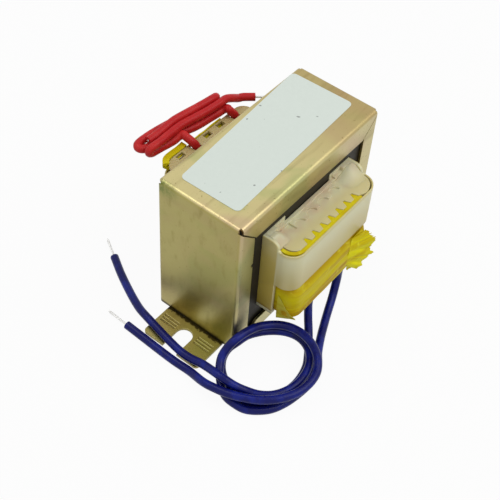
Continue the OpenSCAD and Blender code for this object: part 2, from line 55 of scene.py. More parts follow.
def pick(piece):
    deselectAll()
    piece.select_set(True)
    bpy.context.view_layer.objects.active = piece


def started(name):  # the primitive that was just added, with its size and place put into its mesh
    piece = bpy.context.object
    piece.name = name
    bpy.ops.object.transform_apply(location=True, rotation=True, scale=True)
    return piece


def editing(kind):
    bpy.ops.object.mode_set(mode="EDIT")
    bpy.ops.mesh.select_mode(type=kind)
    bpy.ops.mesh.select_all(action="DESELECT")


def selectFaces(piece, test):
    editing("FACE")
    bpy.ops.object.mode_set(mode="OBJECT")
    for face in piece.data.polygons:
        face.select = test(face.center, face.normal)
    bpy.ops.object.mode_set(mode="EDIT")


def selectEdges(piece, test):
    editing("EDGE")
    bpy.ops.object.mode_set(mode="OBJECT")
    for edge in piece.data.edges:
        edge.select = test(*[piece.data.vertices[i].co for i in edge.vertices])
    bpy.ops.object.mode_set(mode="EDIT")


def sliceAlong(axis, places):  # new edge loops at these places along X, Y or Z
    normal = [float(axis == i) for i in range(3)]
    for place in places:
        bpy.ops.mesh.select_all(action="SELECT")
        bpy.ops.mesh.bisect(plane_co=[n * place for n in normal], plane_no=normal)


def modify(piece, kind, **settings):
    pick(piece)
    modifier = piece.modifiers.new(kind, kind)
    for name, value in settings.items():
        setattr(modifier, name, value)
    bpy.ops.object.modifier_apply(modifier=modifier.name)


def movePoints(piece, shift):  # shift takes a point and its normal, and gives how far the point moves
    normals = [v.normal.copy() for v in piece.data.vertices]
    for vertex, normal in zip(piece.data.vertices, normals):
        vertex.co += shift(vertex.co.copy(), normal)
    piece.data.update()


def smoothBy(piece, degrees):
    pick(piece)
    bpy.ops.object.shade_smooth_by_angle(angle=math.radians(degrees))


def steps(low, high, count):
    return [low + (high - low) * i / (count - 1) for i in range(count)]


def ease(low, high, value):
    t = min(max((value - low) / (high - low), 0), 1)
    return t * t * (3 - 2 * t)


merge = {"apart": 0.002, "flat": 0.6, "crease": 40}


def softened(nodeName, pieceName, shape, edge=0, rings=1):  # a merged, reshaped copy of a CAD node
    deselectAll()
    piece = bpy.data.objects.new(pieceName, nodes[nodeName].data.copy())
    piece.data.materials.clear()
    bpy.context.scene.collection.objects.link(piece)
    pick(piece)
    bpy.ops.mesh.customdata_custom_splitnormals_clear()
    bpy.ops.object.mode_set(mode="EDIT")
    bpy.ops.mesh.select_all(action="SELECT")
    bpy.ops.mesh.remove_doubles(threshold=merge["apart"] * mm)
    bpy.ops.mesh.dissolve_limited(angle_limit=math.radians(merge["flat"]))
    bpy.ops.object.mode_set(mode="OBJECT")
    shape(piece)
    if edge:
        modify(piece, "BEVEL", width=edge, segments=rings, limit_method="ANGLE",
               angle_limit=math.radians(merge["crease"]), miter_outer="MITER_ARC")
    smoothBy(piece, merge["crease"])
    return piece


def joined(pieces, name):
    deselectAll()
    for piece in pieces:
        piece.select_set(True)
    bpy.context.view_layer.objects.active = pieces[0]
    bpy.ops.object.join()
    whole = bpy.context.object
    whole.name = name
    return whole


def finishPiece(piece, slotName, material, *replaced):
    piece.data.materials.clear()
    piece.data.materials.append(material)
    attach(piece, "root")
    if replaced:
        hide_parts(*replaced)
    return piece


# Shader maths: a wire is one socket, and an expression on wires adds the nodes

class Wire:
    def __init__(self, recipe, socket):
        self.recipe, self.socket = recipe, socket

    def math(self, operation, first, second=0.0):
        return self.recipe.make("ShaderNodeMath", {"operation": operation}, {0: first, 1: second})

    def __add__(self, other): return self.math("ADD", self, other)
    def __radd__(self, other): return self.math("ADD", other, self)
    def __sub__(self, other): return self.math("SUBTRACT", self, other)
    def __rsub__(self, other): return self.math("SUBTRACT", other, self)
    def __mul__(self, other): return self.math("MULTIPLY", self, other)
    def __rmul__(self, other): return self.math("MULTIPLY", other, self)
    def __abs__(self): return self.math("ABSOLUTE", self)
    def sine(self): return self.math("SINE", self)
    def most(self, other): return self.math("MAXIMUM", self, other)


class Recipe:
    def __init__(self, tree):
        self.tree = tree

    def make(self, kind, settings=None, inputs=None, output=0):
        node = self.tree.nodes.new(kind)
        for name, value in (settings or {}).items():
            setattr(node, name, value)
        for name, value in (inputs or {}).items():
            self.feed(node.inputs[name], value)
        return Wire(self, node.outputs[output] if node.outputs else None)

    def feed(self, socket, value):
        if isinstance(value, Wire):
            self.tree.links.new(value.socket, socket)
        else:
            socket.default_value = value

    def place(self):
        return self.make("ShaderNodeTexCoord", output="Object")

    def axes(self, vector):
        split = self.make("ShaderNodeSeparateXYZ", None, {0: vector}).socket.node
        return [Wire(self, socket) for socket in split.outputs]

    def stretched(self, vector, scale, turn=(0, 0, 0), shift=(0, 0, 0)):
        return self.make("ShaderNodeMapping", None,
                         {"Vector": vector, "Location": shift, "Rotation": turn, "Scale": scale})

    def cloud(self, vector, scale, detail=2.0, rough=0.5, warp=0.0):
        return self.make("ShaderNodeTexNoise", None, {"Vector": vector, "Scale": scale, "Detail": detail,
                                                      "Roughness": rough, "Distortion": warp})

    def between(self, value, low, high, first=0.0, last=1.0):
        return self.make("ShaderNodeMapRange", {"interpolation_type": "SMOOTHSTEP"},
                         {"Value": value, "From Min": low, "From Max": high, "To Min": first, "To Max": last})

    def mixed(self, factor, first, second):
        return self.make("ShaderNodeMix", {"data_type": "RGBA"}, {0: factor, 6: first, 7: second}, 2)

    def shown(self):  # one for what the camera, gloss and glass see
        seen = self.make("ShaderNodeLightPath", output="Is Camera Ray")
        rays = seen.socket.node.outputs
        return seen.most(Wire(self, rays["Is Glossy Ray"])).most(Wire(self, rays["Is Transmission Ray"]))

    def bump(self, height, strength, distance, edge=0.0):  # edge: how far the light rounds off sharp edges
        inputs = {"Strength": strength, "Distance": distance, "Height": height}
        if edge:
            inputs["Normal"] = self.make("ShaderNodeBevel", {"samples": 6}, {"Radius": edge})
        return self.make("ShaderNodeBump", None, inputs)


def tone(red, green, blue):  # a screen colour as the light it stands for
    channels = []
    for value in (red, green, blue):
        share = value / 255
        channels.append(share / 12.92 if share <= 0.04045 else ((share + 0.055) / 1.055) ** 2.4)
    return (*channels, 1.0)


def newMaterial(name, **fixed):
    material = bpy.data.materials.new(name)
    material.use_nodes = True
    shader = material.node_tree.nodes["Principled BSDF"]
    for socket, value in fixed.items():
        shader.inputs[socket.replace("_", " ")].default_value = value
    return material, Recipe(material.node_tree), shader.inputs


# Camera

cameraFit = {
    "stand": (-160.335, -108.121, 232.197),
    "forward": (0.532263, 0.373407, -0.759778),
    "down": (-0.571951, -0.503062, -0.647920),
    "lens": 74.316, "sensor": 36, "clip": (0.01, 20),
}
forward, down = Vector(cameraFit["forward"]).normalized(), Vector(cameraFit["down"]).normalized()
turn = Matrix((down.cross(forward), -down, -forward)).transposed().to_4x4()
deselectAll()
bpy.ops.object.camera_add()
camera = bpy.context.object
camera.name = "product_camera"
camera.data.lens, camera.data.sensor_width = cameraFit["lens"], cameraFit["sensor"]
camera.matrix_world = Matrix.Translation(Vector(cameraFit["stand"]) * mm) @ turn
camera.data.clip_start, camera.data.clip_end = cameraFit["clip"]
bpy.context.scene.camera = camera


# Lead finishes

pvcLooks = {
    "blue_pvc": {"colour": tone(7, 14, 92), "worn": tone(18, 32, 126), "rough": 0.22},
    "red_pvc": {"colour": tone(178, 26, 30), "worn": tone(192, 42, 40), "rough": 0.36},
}


def pvcMaterial(name, look):
    material, recipe, inputs = newMaterial(name, IOR=1.46, Specular_IOR_Level=0.2,
                                           Coat_Weight=0.06, Coat_Roughness=0.1)
    place = recipe.place()
    blotch = recipe.cloud(place, 260, 3)
    grain = recipe.cloud(place, 2400, 2)
    worn = recipe.between(blotch, 0.42, 0.72)
    recipe.feed(inputs["Base Color"], recipe.mixed(worn, look["colour"], look["worn"]))
    recipe.feed(inputs["Roughness"], look["rough"] + 0.16 * blotch)
    recipe.feed(inputs["Normal"], recipe.bump(blotch * 0.8 + grain * 0.2, 0.25, 0.0003))
    return material


pvc = {name: pvcMaterial(name, look) for name, look in pvcLooks.items()}

tinnedLook = {"dull": tone(206, 205, 202), "bright": tone(240, 240, 238), "rough": 0.22}


def tinnedMaterial():
    material, recipe, inputs = newMaterial("tinned_wire", Metallic=1.0)
    blotch = recipe.cloud(recipe.place(), 1500, 3)
    recipe.feed(inputs["Base Color"], recipe.mixed(blotch, tinnedLook["dull"], tinnedLook["bright"]))
    recipe.feed(inputs["Roughness"], tinnedLook["rough"] + 0.25 * blotch)
    return material


tinned = tinnedMaterial()


# Leads: the routes are those of the part's source, and the red runs inside the hank are laid here

def rounded(points, between=6):  # a smooth line through the points
    line = []
    ends = [2 * points[0] - points[1], *points, 2 * points[-1] - points[-2]]
    for a, b, c, d in zip(ends, ends[1:], ends[2:], ends[3:]):
        for i in range(between):
            t = i / between
            line.append(0.5 * (2 * b + (c - a) * t + (2 * a - 5 * b + 4 * c - d) * t * t
                               + (3 * b - a - 3 * c + d) * t ** 3))
    return [*line, points[-1]]


def lead(name, points, diameter, slotName):
    deselectAll()
    bpy.ops.curve.primitive_bezier_curve_add()
    piece = bpy.context.object
    piece.name = name
    curve = piece.data
    curve.splines.clear()
    line = rounded([Vector(p) * mm for p in points])
    spline = curve.splines.new("POLY")
    spline.points.add(len(line) - 1)
    for point, spot in zip(spline.points, line):
        point.co = (*spot, 1)
    curve.dimensions, curve.bevel_depth, curve.bevel_resolution = "3D", diameter / 2, 4
    curve.use_fill_caps = True
    return finishPiece(piece, slotName, pvc[slotName]), line


strands = {"count": 7, "across": 0.24, "sides": 8, "ring": 0.21, "turns": 0.75, "slices": 14,
           "uneven": 0.05, "spread": 0.25}


def strandBundle(name, start, aim, length):  # tinned strands with a slight lay
    bundle = []
    for i in range(strands["count"]):
        angle = 2 * math.pi * i / (strands["count"] - 1)
        out = 0 if i == strands["count"] - 1 else strands["ring"] * mm  # the last one is in the middle
        deselectAll()
        bpy.ops.mesh.primitive_circle_add(
            vertices=strands["sides"], radius=strands["across"] / 2 * mm, fill_type="NGON",
            location=(out * math.cos(angle), out * math.sin(angle), 0))
        strand = started("strand")
        bpy.ops.object.mode_set(mode="EDIT")
        bpy.ops.mesh.select_all(action="SELECT")
        step = length * (1 - strands["uneven"] * (i % 3)) / strands["slices"]
        for k in range(strands["slices"]):
            bpy.ops.mesh.extrude_region_move(TRANSFORM_OT_translate={"value": (0, 0, step)})
        bpy.ops.mesh.select_all(action="SELECT")
        bpy.ops.mesh.normals_make_consistent(inside=False)
        bpy.ops.object.mode_set(mode="OBJECT")
        bundle.append(strand)
    piece = joined(bundle, name)

    def lay(point, normal):
        share = point.z / length
        twist = Matrix.Rotation(2 * math.pi * strands["turns"] * share, 3, "Z")
        spread = 1 + strands["spread"] * share ** 3
        target = twist @ Vector((point.x * spread, point.y * spread, 0))
        return Vector((target.x, target.y, point.z)) - point

    movePoints(piece, lay)
    piece.data.transform(Matrix.Translation(start) @ aim.to_track_quat("Z", "Y").to_matrix().to_4x4())
    smoothBy(piece, 50)
    return finishPiece(piece, "tinned_wire", tinned)


blueLeads = {
    "diameter": 2.4,
    "tip": 7,
    "corner": (-29.55, -13.55, 0),
    "a": {
        "length": 177, "exit": [(-8.5, -22.5, 11.3), (-8.5, -22.5, 9.1)],
        "floor": [
            (20.6, -9.5, 6.9), (19.6, -10.5, 4.8), (18.4, -11.7, 3.1), (16.9, -13, 1.9), (14.7, -14.7, 1.3),
            (12.2, -16.4, 1.2), (9.3, -18.1, 1.2), (6, -19.1, 1.2), (2.3, -19.4, 1.2), (-1.8, -18.8, 1.2),
            (-5.5, -17.6, 1.2), (-8.3, -15.6, 1.2), (-10.1, -13, 1.2), (-10.6, -10, 1.2), (-9.9, -6.8, 1.2),
            (-8.6, -3.9, 1.2), (-6.8, -1.5, 1.7), (-4.5, 0, 2.7), (-2.2, 0.1, 4.3), (0.2, -1, 5.9),
            (3.6, -1.7, 5.9), (7.2, -3.3, 5.2), (10.3, -5.5, 4.5), (12.5, -8.2, 4.1), (13.5, -11.2, 3.9),
            (13.1, -14.3, 3.9), (11.5, -17, 3.8), (8.8, -19.1, 3.8), (5.4, -20.3, 3.8), (1.6, -20.6, 3.8),
            (-2.2, -19.7, 3.7), (-5.5, -17.8, 3.7), (-7.8, -15, 3.7), (-9.2, -11.7, 3.9), (-10.5, -8.5, 4.9),
            (-11.1, -3.9, 5.8), (-10, 2, 3.5), (-10, 10, 2), (-7.5, 24, 2), (-5.5, 30.5, 1.4), (-1, 40, 1.2),
            (3, 47, 1.2)],
    },
    "b": {
        "length": 180, "exit": [(5.5, -22.5, 11.3), (5.5, -22.5, 9.1)],
        "floor": [
            (34.5, -9.2, 7), (33, -9.8, 4.8), (30.5, -10.8, 3.1), (27.1, -12.1, 1.9), (23.3, -13.7, 1.4),
            (18.9, -15.7, 1.2), (14.6, -18, 1.2), (11.7, -20.1, 1.2), (8.3, -21.5, 1.2), (4.5, -22.1, 1.2),
            (0.4, -21.8, 1.2), (-3.9, -20.9, 1.2), (-7.7, -19.3, 1.2), (-10.5, -16.8, 1.2), (-12.4, -14, 1.3),
            (-13, -11, 1.6), (-13, -8.1, 2.1), (-11.8, -5.7, 2.7), (-10.1, -3.7, 3.2), (-8.1, -1.9, 3.8),
            (-5.8, -0.6, 4.9), (-3.5, -0.5, 6.5), (-1, -1.2, 8.3), (2.6, -1.9, 8.6), (6.6, -3, 7.9),
            (9.9, -5, 7.2), (12.2, -7.6, 6.8), (13.4, -10.7, 6.5), (13.2, -14.3, 6.6), (11.9, -17.9, 6.5),
            (9.6, -20.9, 6.3), (6.8, -22.8, 5.8), (3.5, -23.5, 5.6), (-0.1, -23.2, 5.4), (-3.8, -21.8, 5.3),
            (-7.1, -19.5, 5.2), (-9.8, -16.5, 5.1), (-11.8, -12.9, 4.9), (-13.3, -9.2, 4.7),
            (-14.1, -5.1, 4.3), (-14.2, -1.3, 3.5), (-13, 4.5, 1.6), (-13, 11.5, 1.2), (-12.5, 27.5, 1.2)],
    },
}
for side in "ab":
    route = blueLeads[side]
    points = route["exit"] + [tuple(Vector(p) + Vector(blueLeads["corner"])) for p in route["floor"]]
    wire, line = lead("blue_wire_" + side, points, blueLeads["diameter"] * mm, "blue_pvc")
    tip = strandBundle("blue_strands_" + side, line[-1], line[-1] - line[-2], blueLeads["tip"] * mm)
    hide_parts("blue_lead_" + side)
    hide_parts("blue_tip_" + side)

redLeads = {
    "diameter": 2.4,
    "middle": (-1, 27.3, 38.4), "turn": -7,  # the hank's own frame
    "a": {
        "length": 60, "bare": 3.5, "stands": ("red_lead_a", "red_lead_end"),
        "exit": [(-5.5, 20.7, 35), (-5.5, 20.7, 36), (-5.5, 21, 38.4), (-6, 21.8, 39.7)],
        "folds": [
            (-5, -4, 2.4), (-5, -3, 2.4), (-6, -2.4, 1.9), (-7.6, -2.3, 1.4), (-9.6, -2.1, 1.2),
            (-12, -1.95, 1.2), (-14, -1.9, 1.2), (-15, -1.9, 1.25), (-15.85, -1.96, 1.65),
            (-16.25, -2.12, 2.45), (-15.85, -2.28, 3.25), (-15, -2.33, 3.65), (-14, -2.3, 3.72),
            (-12, -2.15, 3.72), (-8.9, -1.6, 3.7), (-4.4, -1, 3.7), (-0.3, -1.15, 3.7), (4.5, -1.4, 3.7),
            (9.5, -1.4, 3.75), (12.6, -1.1, 3.6), (15, -1.2, 2.6), (17.41, -1.17, 1.2), (18.79, -1.76, 1.2),
            (21.37, -3.91, 1.2)],
    },
    "b": {
        "length": 90, "bare": 0.3, "stands": ("red_lead_b", "red_hank"),
        "exit": [(11, 20.7, 35), (11, 20.7, 36), (11, 21, 38.4), (10.4, 21.5, 39.5)],
        "folds": [
            (11.3, -3.7, 2.2), (11.3, -3, 2.2), (10.4, -2.2, 1.6), (8.8, -2, 1.25), (6, -1.95, 1.2),
            (1.8, -1.95, 1.2), (-1.4, -1.6, 1.2), (-4, -0.8, 1.2), (-6.5, 0.1, 1.2), (-9.2, 0.45, 1.2),
            (-12, 0.4, 1.2), (-14.3, 0.35, 1.2), (-15.5, 0.5, 1.25), (-16.4, 0.95, 1.4), (-16.75, 1.7, 1.55),
            (-16.35, 2.4, 1.7), (-15.3, 2.8, 1.8), (-13.4, 3, 1.85), (-11, 3.1, 1.9), (-8, 3.1, 1.9),
            (-4, 3, 1.85), (-0.9, 2.85, 1.8), (4, 2.7, 1.7), (7.8, 2.65, 1.65), (9.6, 2.6, 1.7),
            (10.9, 2.4, 2.1), (11.35, 1.85, 2.9), (10.9, 1.25, 3.75), (9.6, 1, 4.1), (7.4, 1, 4.1),
            (3.4, 1.1, 4.1), (-0.6, 1.3, 4.1), (-4.4, 1.4, 4.05), (-7.5, 1.05, 3.9), (-10.2, 0.75, 3.65),
            (-12.6, 0.6, 3.4), (-14.2, 0.55, 3.3)],
    },
}
hankTurn = Matrix.Rotation(math.radians(redLeads["turn"]), 3, "Z")
for side in "ab":
    route = redLeads[side]
    middle = Vector(redLeads["middle"])
    points = route["exit"] + [tuple(middle + hankTurn @ Vector(p)) for p in route["folds"]]
    wire, line = lead("red_wire_" + side, points, redLeads["diameter"] * mm, "red_pvc")
    tip = strandBundle("red_strands_" + side, line[-1], line[-1] - line[-2], route["bare"] * mm)
    if side == "a":
        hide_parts("red_tip")
    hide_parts(*route["stands"])
print("leads laid")


# Zinc plate with yellow chromate: straw, with rose and leaf tints

zincLook = {
    "straw": tone(196, 184, 132), "rose": tone(192, 172, 132), "leaf": tone(174, 175, 118),
    "tarnish": tone(108, 92, 48), "brown": tone(150, 120, 62), "moss": tone(96, 112, 48),
    "paintedSideShade": tone(139, 131, 53), "jointShade": tone(52, 42, 20), "rough": 0.3, "edge": 0.00022,
    "topFace": (0.0012, 0.0004), "sideFace": (0.0004, 0.0001), "farTint": (-0.006, 0.028),
    "ragged": 0.0024, "jointOut": (0.0011, 0.0006), "jointUp": (0.0022, 0.0012),
    "grooveOut": (0.0002, 0.0004), "grooveUp": (0.00078, 0.00066),
    "cornerDeep": (0.005, 0.012), "cornerDown": (0.006, 0.002), "cornerIn": (0.0016, 0.0004),
}
frameLow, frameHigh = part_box("clamp_frame")


def zincMaterial():
    look = zincLook
    left, right, top = frameLow[0], frameHigh[0], frameHigh[2]
    material, recipe, inputs = newMaterial("zinc_sheet", Metallic=1.0)

    def inside(value, edge, span):  # rises from span[0] to span[1] short of the edge
        return recipe.between(value, edge - span[0], edge - span[1])

    def past(value, edge, span):  # the same past the edge
        return recipe.between(value, edge + span[0], edge + span[1])

    place = recipe.place()
    x, y, z = recipe.axes(place)
    wide = recipe.cloud(place, 52, 2, 0.5, 0.6)
    other = recipe.cloud(recipe.stretched(place, (1, 1, 1), shift=(0.3, 0.1, 0.7)), 70, 2, 0.5, 0.8)
    streak = recipe.cloud(recipe.stretched(place, (40, 400, 160)), 1, 3)
    fine = recipe.cloud(place, 900, 3, 0.6)
    speck = recipe.cloud(place, 1600, 1, 0.4)
    colour = recipe.mixed(recipe.between(wide, 0.46, 0.66), look["straw"], look["rose"])
    colour = recipe.mixed(recipe.between(other, 0.5, 0.68) * 0.8, colour, look["leaf"])
    dirt = recipe.between(streak, 0.5, 0.78) * 0.42 + recipe.between(speck, 0.7, 0.78) * 0.5
    colour = recipe.mixed(dirt, colour, look["tarnish"])
    far = recipe.between(x, *look["farTint"]) * inside(z, top, look["topFace"])  # browner to the right
    colour = recipe.mixed(far * (0.3 + 0.3 * wide), colour, look["brown"])
    onSide = inside(abs(x), right, look["sideFace"])  # painted shade: the sides are darker than the top
    colour = recipe.mixed(onSide * 0.6, colour, look["paintedSideShade"])
    ragged = abs(x) + (fine - 0.5) * look["ragged"]  # painted shade: a dark, ragged line where the side meets the ear
    shadedJoint = past(ragged, right, look["jointOut"]) * recipe.between(z, *look["jointUp"]) * onSide
    colour = recipe.mixed(shadedJoint * 0.9, colour, look["jointShade"])
    grooves = past(abs(x), right, look["grooveOut"]) * recipe.between(z, *look["grooveUp"])
    colour = recipe.mixed(grooves * 0.5, colour, look["tarnish"])  # grip grooves and cut edges
    corner = recipe.between(y, *look["cornerDeep"]) * inside(z, top, look["cornerDown"])
    corner = corner * past(x, left, look["cornerIn"])  # greenish at the far corner
    colour = recipe.mixed(corner * (0.3 + 0.55 * recipe.between(fine, 0.3, 0.7)), colour, look["moss"])
    relief = fine * 0.4 + wide * 2.0 + streak * 0.3
    recipe.feed(inputs["Base Color"], colour)
    recipe.feed(inputs["Roughness"], look["rough"] + 0.12 * fine + 0.1 * dirt)
    recipe.feed(inputs["Normal"], recipe.bump(relief, 0.1, 0.0004, look["edge"]))
    return material


zinc = zincMaterial()
for name in ("clamp_frame", "base_plate"):
    finishPiece(nodes[name], "zinc_sheet", zinc)
print("zinc plates done")


# Core: varnished steel

coreLook = {"steel": tone(52, 48, 38), "varnish": tone(30, 26, 18), "sheet": 0.5}


def coreMaterial():
    material, recipe, inputs = newMaterial("core_steel", Metallic=0.7)
    place = recipe.place()
    across = recipe.axes(place)[1]
    lines = (across * (2 * math.pi / (coreLook["sheet"] * mm))).sine() * 0.5 + 0.5
    rub = recipe.cloud(recipe.stretched(place, (60, 1, 400)), 1, 4)
    bare = rub * 0.6 + lines * 0.3
    recipe.feed(inputs["Base Color"], recipe.mixed(bare, coreLook["varnish"], coreLook["steel"]))
    recipe.feed(inputs["Roughness"], 0.42 + 0.25 * rub)
    recipe.feed(inputs["Normal"], recipe.bump(lines * 0.6 + rub * 0.4, 0.5, 0.0002))
    return material


coreSteel = coreMaterial()
for name in ("e_laminations_up", "e_laminations_down", "i_laminations_top", "i_laminations_bottom"):
    finishPiece(nodes[name], "core_steel", coreSteel)


# Nylon of the bobbin and covers: milky, and tinted by what is behind it

nylonLook = {
    "milk": tone(214, 210, 172), "amber": tone(188, 166, 70), "deep": tone(138, 108, 14),
    "flesh": tone(200, 170, 142), "tan": tone(180, 162, 104), "rough": 0.34, "edge": 0.0003,
    "cloudy": 0.006, "bandUp": (0.036, 0.0225), "skirtUp": (0.0235, 0.012), "footUp": (0.0126, 0.0116),
    "wallOut": (0.0184, 0.0187), "wallEnd": (0.0177, 0.0173), "wallUp": (0.039, 0.03),
    "seamAt": 0.0174, "seamWide": (0.00035, 0.0001), "seamOut": (0.0178, 0.0186),
    "rimUp": (0.0345, 0.036), "rimOut": (0.0176, 0.0186),
    "flangeUp": (0.0345, 0.035), "front": (-0.0195, -0.0155), "near": (0.0122, 0.0132),
    "rear": (0.013, 0.018),
}


def nylonMaterial(name, glow):
    look = nylonLook
    material, recipe, inputs = newMaterial(name, IOR=1.5, Subsurface_Weight=0.3, Subsurface_Scale=0.0015,
                                           Subsurface_Radius=(1.0, 0.82, 0.5))
    place = recipe.place()
    x, y, z = recipe.axes(place)
    cloud = recipe.cloud(place, 110, 2)
    fine = recipe.cloud(place, 1400, 2)
    if glow == "cover":  # the tape behind shows more towards the bottom of the side walls
        high = z + (cloud - 0.5) * look["cloudy"]
        colour = recipe.mixed(recipe.between(high, *look["bandUp"], 0.0, 0.6), look["milk"], look["amber"])
        colour = recipe.mixed(recipe.between(high, *look["skirtUp"]), colour, look["deep"])
        wall = recipe.between(abs(x), *look["wallOut"]) * recipe.between(abs(y), *look["wallEnd"])
        colour = recipe.mixed(wall * recipe.between(high, *look["wallUp"], 0.5, 0.85), colour, look["amber"])
        colour = recipe.mixed(recipe.between(z, *look["footUp"]) * 0.8, colour, look["deep"])
        fromSeam = abs(abs(y) - look["seamAt"])
        seam = recipe.between(fromSeam, *look["seamWide"]) * recipe.between(abs(x), *look["seamOut"])
        colour = recipe.mixed(seam * 0.6, colour, look["milk"])
        rim = recipe.between(z, *look["rimUp"]) * recipe.between(abs(y), *look["rimOut"])
        colour = recipe.mixed(rim * 0.5, colour, look["amber"])
    else:  # copper behind the wall beside the ridge, tape below the comb's edge
        flange = recipe.between(z, *look["flangeUp"])
        front = recipe.between(y, *look["front"], 1.0, 0.0) * flange
        near = recipe.between(abs(y), *look["near"]) * flange * (1 - front)
        blush = near * recipe.between(cloud, 0.36, 0.6) * 0.75
        colour = recipe.mixed(blush, look["milk"], look["flesh"])
        colour = recipe.mixed(front * 0.45, colour, look["amber"])
        colour = recipe.mixed(recipe.between(y, *look["rear"]) * 0.85, colour, look["tan"])
    recipe.feed(inputs["Base Color"], colour)
    recipe.feed(inputs["Roughness"], look["rough"] + 0.14 * cloud)
    recipe.feed(inputs["Normal"], recipe.bump(cloud * 0.8 + fine * 0.2, 0.12, 0.0004, look["edge"]))
    return material


coverNylon, bobbinNylon = nylonMaterial("cover_nylon", "cover"), nylonMaterial("bobbin_nylon", "bobbin")

former = {
    "cuts": {  # what is taken off the moulding: lowest and highest corner of each cut
        "left_pad": ((-19, -19, 36.02), (-13.9, -13.72, 40)),
        "right_pad": ((13.9, -19, 36.02), (19, -13.72, 40)),
        "ridge": ((-10.8, -13.75, 36.95), (10.8, -12.55, 40))},
    "combFront": 21.6, "combBack": 17.3, "combLow": 34.9, "combPull": 0.25, "edgeBand": 0.1,
    "cornerFrom": 11.2, "cornerTurn": (13.1, 18.2), "cornerRound": 3.4, "cornerSlack": 0.15,
    "cornerGrow": (1.55, 0.8),
}


def formerShape(piece):  # pads cut away for the domes, a lower ridge, and room for tape at the comb's edge
    for name, (low, high) in former["cuts"].items():
        low, high = Vector(low) * mm, Vector(high) * mm
        deselectAll()
        bpy.ops.mesh.primitive_cube_add(size=1, location=(low + high) / 2, scale=high - low)
        cutter = started(name + "_cutter")
        modify(piece, "BOOLEAN", operation="DIFFERENCE", solver="EXACT", object=cutter)
        bpy.data.objects.remove(cutter)

    def fit(point, normal):
        x, y, z = point / mm
        if z < former["combLow"] or y > -former["combBack"]:
            return Vector()
        out = Vector((x - former["cornerTurn"][0], y + former["cornerTurn"][1], 0))
        if x > former["cornerFrom"] and abs(out.length - former["cornerRound"]) < former["cornerSlack"]:
            out.normalize()
            return Vector((out.x * former["cornerGrow"][0], out.y * former["cornerGrow"][1], 0)) * mm
        atEdge = y < former["edgeBand"] - former["combFront"]
        return Vector((0, former["combPull"] * mm if atEdge else 0, 0))

    movePoints(piece, fit)


shroud = {"edge": 0.14, "rings": 3, "turnAt": (14.5, 18.6), "inside": 3.4, "slack": 0.2, "thin": 0.45,
          "rim": 36, "bandFrom": 17.5, "fit": 0.08, "shoulder": 1.9, "rounds": 6, "top": 38.4,
          "wallEnd": 17.4, "wallIn": 17.9, "near": 0.05}


def shroudShape(piece):  # side walls that fall off in a round shoulder, and a band that thins to its rim
    near, (turnX, turnY) = shroud["near"], shroud["turnAt"]

    def isShoulder(a, b):
        middle, run = (a + b) / 2 / mm, (b - a).normalized()
        return (abs(run.x) > 0.9 and abs(middle.z - shroud["top"]) < near
                and abs(abs(middle.y) - shroud["wallEnd"]) < near)

    selectEdges(piece, isShoulder)
    bpy.ops.mesh.bevel(offset=shroud["shoulder"] * mm, segments=shroud["rounds"], affect="EDGES")
    bpy.ops.object.mode_set(mode="OBJECT")

    def fit(point, normal):
        x, y, z = point / mm
        if abs(y) < shroud["wallEnd"] + near and abs(abs(x) - shroud["wallIn"]) < near:
            return Vector((-math.copysign(shroud["fit"], x) * mm, 0, 0))
        middle = Vector((min(max(x, -turnX), turnX), math.copysign(turnY, y) if abs(y) > turnY else y, 0))
        out = Vector((x, y, 0)) - middle
        tooFar = out.length > shroud["inside"] + shroud["slack"]
        if abs(z - shroud["rim"]) > near or tooFar or abs(y) < shroud["bandFrom"]:
            return Vector()
        return out.normalized() * shroud["thin"] * mm

    movePoints(piece, fit)


finishPiece(softened("bobbin", "coil_former", formerShape), "nylon", bobbinNylon, "bobbin")

shoulders = {
    "left": {"way": -1, "inner": 12.2, "crest": 16.2, "front": 17.4, "fall": (14.5, 17.7)},
    "right": {"way": 1, "inner": 10.8, "crest": 16.6, "front": 19.7, "fall": (14.2, 19.7)},
    "back": 13.72, "outer": 17.78, "low": 35.97, "top": 38.38, "wall": 0.3, "rows": 26,
}


def shoulderDome(side):  # the soft rise from the comb to the cover's side wall
    look = shoulders[side]
    deselectAll()
    bpy.ops.mesh.primitive_grid_add(x_subdivisions=shoulders["rows"], y_subdivisions=shoulders["rows"], size=1)
    piece = started("shoulder_" + side)

    def rise(point, normal):
        x = look["inner"] + (shoulders["outer"] - look["inner"]) * (point.x + 0.5)
        y = shoulders["back"] + (look["front"] - shoulders["back"]) * (point.y + 0.5)
        share = ease(look["inner"], look["crest"], x) * (1 - ease(look["fall"][0], look["fall"][1], y))
        high = shoulders["low"] + (shoulders["top"] - shoulders["low"]) * share
        return Vector((look["way"] * x, -y, high)) * mm - point

    movePoints(piece, rise)
    if look["way"] > 0:
        editing("FACE")
        bpy.ops.mesh.select_all(action="SELECT")
        bpy.ops.mesh.flip_normals()
        bpy.ops.object.mode_set(mode="OBJECT")
    modify(piece, "SOLIDIFY", thickness=shoulders["wall"] * mm, offset=-1)
    smoothBy(piece, 50)
    return finishPiece(piece, "nylon", bobbinNylon)


for side in ("left", "right"):
    shoulderDome(side)
for side in ("front", "rear"):
    cover = softened(side + "_cover", side + "_shroud", shroudShape, shroud["edge"] * mm, shroud["rings"])
    finishPiece(cover, "nylon", coverNylon, side + "_cover")
print("nylon done")


# Copper, seen only through the comb

copperLook = {"dark": tone(110, 52, 24), "bright": tone(186, 104, 58), "film": tone(200, 168, 10),
              "filmUp": (0.0347, 0.0349), "pitch": 0.4}


